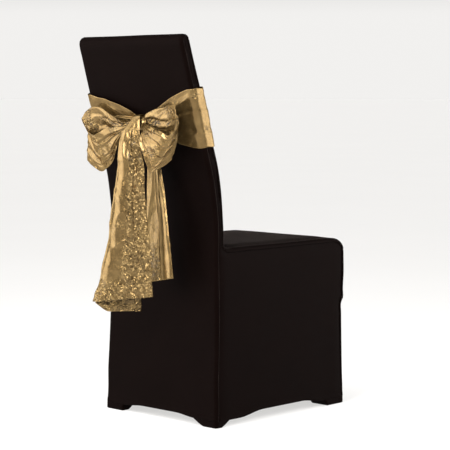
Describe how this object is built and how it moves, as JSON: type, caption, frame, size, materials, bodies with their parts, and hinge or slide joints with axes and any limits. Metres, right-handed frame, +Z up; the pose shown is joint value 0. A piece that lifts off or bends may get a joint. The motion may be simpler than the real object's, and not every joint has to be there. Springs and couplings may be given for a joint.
{
  "type": "chair cover with sash",
  "caption": "Hollow fitted stretch chair cover for a high raked back, with foot pockets and a wide metallic sash tied in a bow behind.",
  "frame": {"origin": "middle of the underside of the back's top, where the cover hangs on the chair", "axes": "+Z up, -Y the way the chair faces, +X to the sitter's left"},
  "size_m": [0.4366, 0.7336, 1.0405],
  "materials": {
    "cover_knit": "matt fine stretch knit, very dark brown-black",
    "sash_cloth": "shiny crinkled gold metallic cloth"
  },
  "bodies": {
    "root": {"back_panel": "cover_knit", "inner_back_panel": "cover_knit", "seat_panel": "cover_knit", "front_panel": "cover_knit", "side_panel_left": "cover_knit", "side_panel_right": "cover_knit", "foot_pocket_rear_left": "cover_knit", "foot_pocket_rear_right": "cover_knit", "foot_pocket_front_left": "cover_knit", "foot_pocket_front_right": "cover_knit", "sash": "sash_cloth"}
  },
  "joints": []
}
